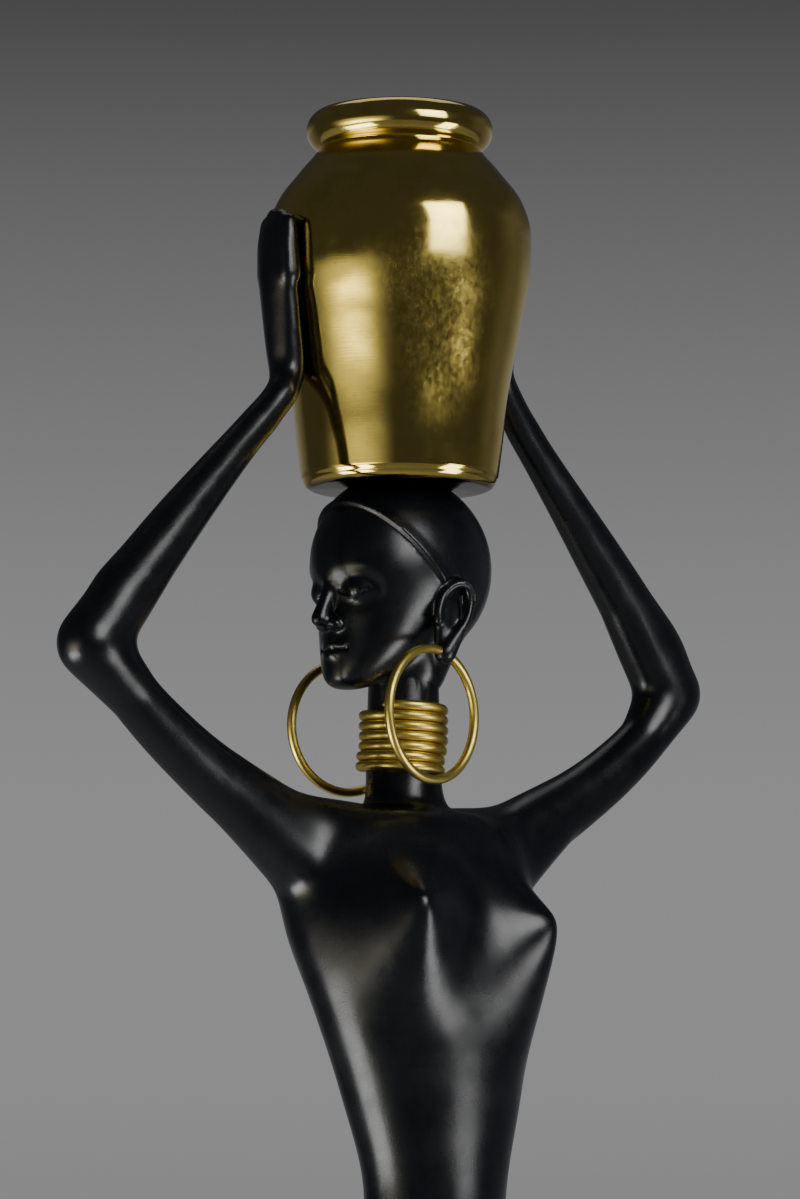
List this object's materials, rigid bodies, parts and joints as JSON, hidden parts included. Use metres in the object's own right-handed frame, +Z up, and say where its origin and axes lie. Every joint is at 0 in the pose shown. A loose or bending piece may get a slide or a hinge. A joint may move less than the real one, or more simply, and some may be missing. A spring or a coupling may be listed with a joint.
{
  "type": "standing jar bearer sculpture",
  "caption": "Slim black-patinated woman standing on a low round base, arms raised to a polished brass jar on her head, with a brass neck spiral and hoop earrings.",
  "frame": {"origin": "centre of the base's underside", "axes": "+Z up; her body faces -Y, her left is +X and her head is turned to -X"},
  "size_m": [0.4919, 0.3, 1.4307],
  "materials": {
    "black_patina": "satin black patina",
    "black_base": "satin black",
    "polished_brass": "polished, lightly tarnished"
  },
  "bodies": {
    "root": {"figure": "black_patina", "base": "black_base", "jar": "polished_brass", "neck_rings": "polished_brass", "earring_left": "polished_brass", "earring_right": "polished_brass"}
  },
  "joints": []
}
